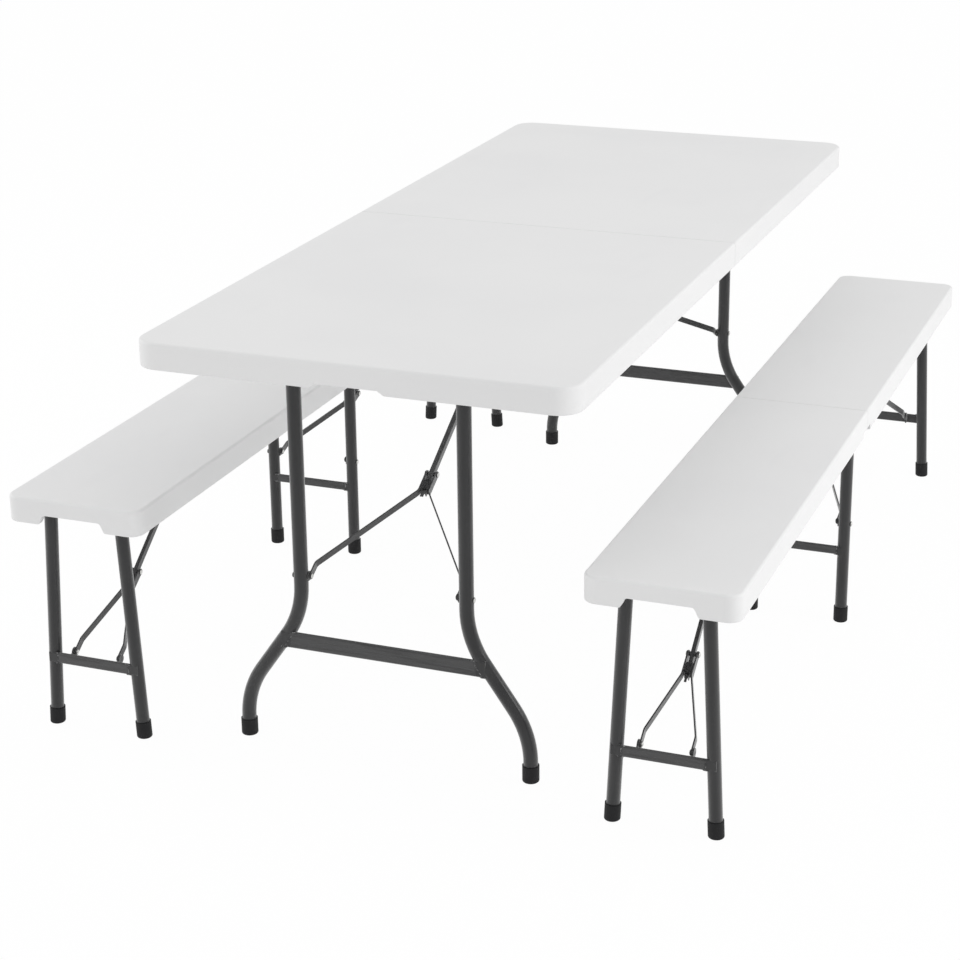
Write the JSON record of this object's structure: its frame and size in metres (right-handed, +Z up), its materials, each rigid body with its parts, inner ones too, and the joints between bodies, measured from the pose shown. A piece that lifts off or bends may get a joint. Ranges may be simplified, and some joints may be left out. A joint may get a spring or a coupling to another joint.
{
  "type": "folding camping table set",
  "caption": "White moulded folding table with matching folding benches on dark grey steel legs; halves hinge at mid length and braced leg frames fold flat underneath.",
  "frame": {"origin": "on the floor under the middle of the table", "axes": "+X across the table towards the right-hand bench, +Y along its length to the far end, +Z up"},
  "size_m": [1.285, 1.83, 0.74],
  "materials": {
    "white_plastic": "fine pebbled moulded polyethylene",
    "grey_steel": "dark grey hammered powder coat",
    "black_rubber": "matt black foot caps",
    "black_plastic": "black lock rings",
    "plated_steel": "bright zinc plated pins"
  },
  "bodies": {
    "table_near_half": {"table_top_near": "white_plastic", "table_underframe_near": "grey_steel", "table_hinge_pins": "plated_steel"},
    "table_far_half": {"table_top_far": "white_plastic", "table_underframe_far": "grey_steel"},
    "table_near_legs": {"table_leg_frame_near": "grey_steel", "table_feet_near": "black_rubber"},
    "table_near_link": {"table_brace_link_near": "grey_steel"},
    "table_near_arms": {"table_brace_arms_near": "grey_steel"},
    "table_near_ring": {"table_lock_ring_near": "black_plastic"},
    "table_far_legs": {"table_leg_frame_far": "grey_steel", "table_feet_far": "black_rubber"},
    "table_far_link": {"table_brace_link_far": "grey_steel"},
    "table_far_arms": {"table_brace_arms_far": "grey_steel"},
    "table_far_ring": {"table_lock_ring_far": "black_plastic"},
    "left_bench_near_half": {"left_bench_seat_near": "white_plastic", "left_bench_underframe_near": "grey_steel", "left_bench_hinge_pins": "plated_steel"},
    "left_bench_far_half": {"left_bench_seat_far": "white_plastic", "left_bench_underframe_far": "grey_steel"},
    "left_bench_near_legs": {"left_bench_leg_frame_near": "grey_steel", "left_bench_feet_near": "black_rubber"},
    "left_bench_near_link": {"left_bench_brace_link_near": "grey_steel"},
    "left_bench_near_arms": {"left_bench_brace_arms_near": "grey_steel"},
    "left_bench_near_ring": {"left_bench_lock_ring_near": "black_plastic"},
    "left_bench_middle_legs": {"left_bench_leg_frame_middle": "grey_steel", "left_bench_feet_middle": "black_rubber"},
    "left_bench_middle_link": {"left_bench_brace_link_middle": "grey_steel"},
    "left_bench_middle_arms": {"left_bench_brace_arms_middle": "grey_steel"},
    "left_bench_middle_ring": {"left_bench_lock_ring_middle": "black_plastic"},
    "left_bench_far_legs": {"left_bench_leg_frame_far": "grey_steel", "left_bench_feet_far": "black_rubber"},
    "left_bench_far_link": {"left_bench_brace_link_far": "grey_steel"},
    "left_bench_far_arms": {"left_bench_brace_arms_far": "grey_steel"},
    "left_bench_far_ring": {"left_bench_lock_ring_far": "black_plastic"},
    "right_bench_near_half": {"right_bench_seat_near": "white_plastic", "right_bench_underframe_near": "grey_steel", "right_bench_hinge_pins": "plated_steel"},
    "right_bench_far_half": {"right_bench_seat_far": "white_plastic", "right_bench_underframe_far": "grey_steel"},
    "right_bench_near_legs": {"right_bench_leg_frame_near": "grey_steel", "right_bench_feet_near": "black_rubber"},
    "right_bench_near_link": {"right_bench_brace_link_near": "grey_steel"},
    "right_bench_near_arms": {"right_bench_brace_arms_near": "grey_steel"},
    "right_bench_near_ring": {"right_bench_lock_ring_near": "black_plastic"},
    "right_bench_middle_legs": {"right_bench_leg_frame_middle": "grey_steel", "right_bench_feet_middle": "black_rubber"},
    "right_bench_middle_link": {"right_bench_brace_link_middle": "grey_steel"},
    "right_bench_middle_arms": {"right_bench_brace_arms_middle": "grey_steel"},
    "right_bench_middle_ring": {"right_bench_lock_ring_middle": "black_plastic"},
    "right_bench_far_legs": {"right_bench_leg_frame_far": "grey_steel", "right_bench_feet_far": "black_rubber"},
    "right_bench_far_link": {"right_bench_brace_link_far": "grey_steel"},
    "right_bench_far_arms": {"right_bench_brace_arms_far": "grey_steel"},
    "right_bench_far_ring": {"right_bench_lock_ring_far": "black_plastic"}
  },
  "joints": [
    {"name": "table_fold", "type": "hinge", "parent": "table_near_half", "child": "table_far_half", "pos_m": [0, 0, 0.694], "axis": [-1, 0, 0], "range_deg": [0, 90]},
    {"name": "table_near_leg_fold", "type": "hinge", "parent": "table_near_half", "child": "table_near_legs", "pos_m": [0, -0.793, 0.7095], "axis": [1, 0, 0], "range_deg": [0, 90]},
    {"name": "table_near_link_swing", "type": "hinge", "parent": "table_near_half", "child": "table_near_link", "pos_m": [0, -0.09833, 0.7145], "axis": [1, 0, 0], "range_deg": [-30.35, 0]},
    {"name": "table_near_arms_swing", "type": "hinge", "parent": "table_near_legs", "child": "table_near_arms", "pos_m": [0, -0.789, 0.314], "axis": [1, 0, 0], "range_deg": [0, 60.63]},
    {"name": "table_near_ring_slide", "type": "slide", "parent": "table_near_link", "child": "table_near_ring", "axis": [0, 0.8622, 0.5066], "range_m": [0, 0.01201]},
    {"name": "table_far_leg_fold", "type": "hinge", "parent": "table_far_half", "child": "table_far_legs", "pos_m": [0, 0.793, 0.7095], "axis": [-1, 0, 0], "range_deg": [0, 90]},
    {"name": "table_far_link_swing", "type": "hinge", "parent": "table_far_half", "child": "table_far_link", "pos_m": [0, 0.09833, 0.7145], "axis": [-1, 0, 0], "range_deg": [-30.35, 0]},
    {"name": "table_far_arms_swing", "type": "hinge", "parent": "table_far_legs", "child": "table_far_arms", "pos_m": [0, 0.789, 0.314], "axis": [-1, 0, 0], "range_deg": [0, 60.63]},
    {"name": "table_far_ring_slide", "type": "slide", "parent": "table_far_link", "child": "table_far_ring", "axis": [0, -0.8622, 0.5066], "range_m": [0, 0.01201]},
    {"name": "left_bench_shift", "type": "slide", "parent": "table_near_half", "child": "left_bench_near_half", "axis": [-1, 0, 0], "range_m": [0, 0.4]},
    {"name": "left_bench_fold", "type": "hinge", "parent": "left_bench_near_half", "child": "left_bench_far_half", "pos_m": [-0.515, 0, 0.394], "axis": [-1, 0, 0], "range_deg": [0, 90]},
    {"name": "left_bench_near_leg_fold", "type": "hinge", "parent": "left_bench_near_half", "child": "left_bench_near_legs", "pos_m": [-0.515, -0.868, 0.4095], "axis": [1, 0, 0], "range_deg": [0, 90]},
    {"name": "left_bench_near_link_swing", "type": "hinge", "parent": "left_bench_near_half", "child": "left_bench_near_link", "pos_m": [-0.515, -0.48297, 0.4145], "axis": [1, 0, 0], "range_deg": [-37.34, 0]},
    {"name": "left_bench_near_arms_swing", "type": "hinge", "parent": "left_bench_near_legs", "child": "left_bench_near_arms", "pos_m": [-0.515, -0.862, 0.139], "axis": [1, 0, 0], "range_deg": [0, 55.84]},
    {"name": "left_bench_near_ring_slide", "type": "slide", "parent": "left_bench_near_link", "child": "left_bench_near_ring", "axis": [0, 0.7973, 0.6036], "range_m": [0, 0.01201]},
    {"name": "left_bench_middle_leg_fold", "type": "hinge", "parent": "left_bench_far_half", "child": "left_bench_middle_legs", "pos_m": [-0.515, 0.02, 0.4095], "axis": [1, 0, 0], "range_deg": [0, 90]},
    {"name": "left_bench_middle_link_swing", "type": "hinge", "parent": "left_bench_far_half", "child": "left_bench_middle_link", "pos_m": [-0.515, 0.29742, 0.4145], "axis": [1, 0, 0], "range_deg": [0, 112.71]},
    {"name": "left_bench_middle_arms_swing", "type": "hinge", "parent": "left_bench_middle_legs", "child": "left_bench_middle_arms", "pos_m": [-0.515, 0.027, 0.2025], "axis": [1, 0, 0], "range_deg": [-108.09, 0]},
    {"name": "left_bench_middle_ring_slide", "type": "slide", "parent": "left_bench_middle_link", "child": "left_bench_middle_ring", "axis": [0, 0.3737, 0.9275], "range_m": [0, 0.06001]},
    {"name": "left_bench_far_leg_fold", "type": "hinge", "parent": "left_bench_far_half", "child": "left_bench_far_legs", "pos_m": [-0.515, 0.868, 0.4095], "axis": [-1, 0, 0], "range_deg": [0, 90]},
    {"name": "left_bench_far_link_swing", "type": "hinge", "parent": "left_bench_far_half", "child": "left_bench_far_link", "pos_m": [-0.515, 0.48297, 0.4145], "axis": [-1, 0, 0], "range_deg": [-37.34, 0]},
    {"name": "left_bench_far_arms_swing", "type": "hinge", "parent": "left_bench_far_legs", "child": "left_bench_far_arms", "pos_m": [-0.515, 0.862, 0.139], "axis": [-1, 0, 0], "range_deg": [0, 55.84]},
    {"name": "left_bench_far_ring_slide", "type": "slide", "parent": "left_bench_far_link", "child": "left_bench_far_ring", "axis": [0, -0.7973, 0.6036], "range_m": [0, 0.01201]},
    {"name": "right_bench_shift", "type": "slide", "parent": "table_near_half", "child": "right_bench_near_half", "axis": [1, 0, 0], "range_m": [0, 0.4]},
    {"name": "right_bench_fold", "type": "hinge", "parent": "right_bench_near_half", "child": "right_bench_far_half", "pos_m": [0.515, 0, 0.394], "axis": [-1, 0, 0], "range_deg": [0, 90]},
    {"name": "right_bench_near_leg_fold", "type": "hinge", "parent": "right_bench_near_half", "child": "right_bench_near_legs", "pos_m": [0.515, -0.868, 0.4095], "axis": [1, 0, 0], "range_deg": [0, 90]},
    {"name": "right_bench_near_link_swing", "type": "hinge", "parent": "right_bench_near_half", "child": "right_bench_near_link", "pos_m": [0.515, -0.48297, 0.4145], "axis": [1, 0, 0], "range_deg": [-37.34, 0]},
    {"name": "right_bench_near_arms_swing", "type": "hinge", "parent": "right_bench_near_legs", "child": "right_bench_near_arms", "pos_m": [0.515, -0.862, 0.139], "axis": [1, 0, 0], "range_deg": [0, 55.84]},
    {"name": "right_bench_near_ring_slide", "type": "slide", "parent": "right_bench_near_link", "child": "right_bench_near_ring", "axis": [0, 0.7973, 0.6036], "range_m": [0, 0.01201]},
    {"name": "right_bench_middle_leg_fold", "type": "hinge", "parent": "right_bench_far_half", "child": "right_bench_middle_legs", "pos_m": [0.515, 0.02, 0.4095], "axis": [1, 0, 0], "range_deg": [0, 90]},
    {"name": "right_bench_middle_link_swing", "type": "hinge", "parent": "right_bench_far_half", "child": "right_bench_middle_link", "pos_m": [0.515, 0.29742, 0.4145], "axis": [1, 0, 0], "range_deg": [0, 112.71]},
    {"name": "right_bench_middle_arms_swing", "type": "hinge", "parent": "right_bench_middle_legs", "child": "right_bench_middle_arms", "pos_m": [0.515, 0.027, 0.2025], "axis": [1, 0, 0], "range_deg": [-108.09, 0]},
    {"name": "right_bench_middle_ring_slide", "type": "slide", "parent": "right_bench_middle_link", "child": "right_bench_middle_ring", "axis": [0, 0.3737, 0.9275], "range_m": [0, 0.06001]},
    {"name": "right_bench_far_leg_fold", "type": "hinge", "parent": "right_bench_far_half", "child": "right_bench_far_legs", "pos_m": [0.515, 0.868, 0.4095], "axis": [-1, 0, 0], "range_deg": [0, 90]},
    {"name": "right_bench_far_link_swing", "type": "hinge", "parent": "right_bench_far_half", "child": "right_bench_far_link", "pos_m": [0.515, 0.48297, 0.4145], "axis": [-1, 0, 0], "range_deg": [-37.34, 0]},
    {"name": "right_bench_far_arms_swing", "type": "hinge", "parent": "right_bench_far_legs", "child": "right_bench_far_arms", "pos_m": [0.515, 0.862, 0.139], "axis": [-1, 0, 0], "range_deg": [0, 55.84]},
    {"name": "right_bench_far_ring_slide", "type": "slide", "parent": "right_bench_far_link", "child": "right_bench_far_ring", "axis": [0, -0.7973, 0.6036], "range_m": [0, 0.01201]}
  ],
  "couplings": [
    {"joint": "table_near_link_swing", "follows": "table_near_leg_fold", "ratio": -0.33701},
    {"joint": "table_near_arms_swing", "follows": "table_near_leg_fold", "ratio": 0.67346},
    {"joint": "table_near_ring_slide", "follows": "table_near_leg_fold", "m_per_rad": 0.007639},
    {"joint": "table_far_link_swing", "follows": "table_far_leg_fold", "ratio": -0.33701},
    {"joint": "table_far_arms_swing", "follows": "table_far_leg_fold", "ratio": 0.67346},
    {"joint": "table_far_ring_slide", "follows": "table_far_leg_fold", "m_per_rad": 0.007639},
    {"joint": "left_bench_near_link_swing", "follows": "left_bench_near_leg_fold", "ratio": -0.41468},
    {"joint": "left_bench_near_arms_swing", "follows": "left_bench_near_leg_fold", "ratio": 0.62023},
    {"joint": "left_bench_near_ring_slide", "follows": "left_bench_near_leg_fold", "m_per_rad": 0.007639},
    {"joint": "left_bench_middle_link_swing", "follows": "left_bench_middle_leg_fold", "ratio": 1.2521},
    {"joint": "left_bench_middle_arms_swing", "follows": "left_bench_middle_leg_fold", "ratio": -1.2008},
    {"joint": "left_bench_middle_ring_slide", "follows": "left_bench_middle_leg_fold", "m_per_rad": 0.038197},
    {"joint": "left_bench_far_link_swing", "follows": "left_bench_far_leg_fold", "ratio": -0.41468},
    {"joint": "left_bench_far_arms_swing", "follows": "left_bench_far_leg_fold", "ratio": 0.62023},
    {"joint": "left_bench_far_ring_slide", "follows": "left_bench_far_leg_fold", "m_per_rad": 0.007639},
    {"joint": "right_bench_near_link_swing", "follows": "right_bench_near_leg_fold", "ratio": -0.41468},
    {"joint": "right_bench_near_arms_swing", "follows": "right_bench_near_leg_fold", "ratio": 0.62023},
    {"joint": "right_bench_near_ring_slide", "follows": "right_bench_near_leg_fold", "m_per_rad": 0.007639},
    {"joint": "right_bench_middle_link_swing", "follows": "right_bench_middle_leg_fold", "ratio": 1.2521},
    {"joint": "right_bench_middle_arms_swing", "follows": "right_bench_middle_leg_fold", "ratio": -1.2008},
    {"joint": "right_bench_middle_ring_slide", "follows": "right_bench_middle_leg_fold", "m_per_rad": 0.038197},
    {"joint": "right_bench_far_link_swing", "follows": "right_bench_far_leg_fold", "ratio": -0.41468},
    {"joint": "right_bench_far_arms_swing", "follows": "right_bench_far_leg_fold", "ratio": 0.62023},
    {"joint": "right_bench_far_ring_slide", "follows": "right_bench_far_leg_fold", "m_per_rad": 0.007639}
  ]
}
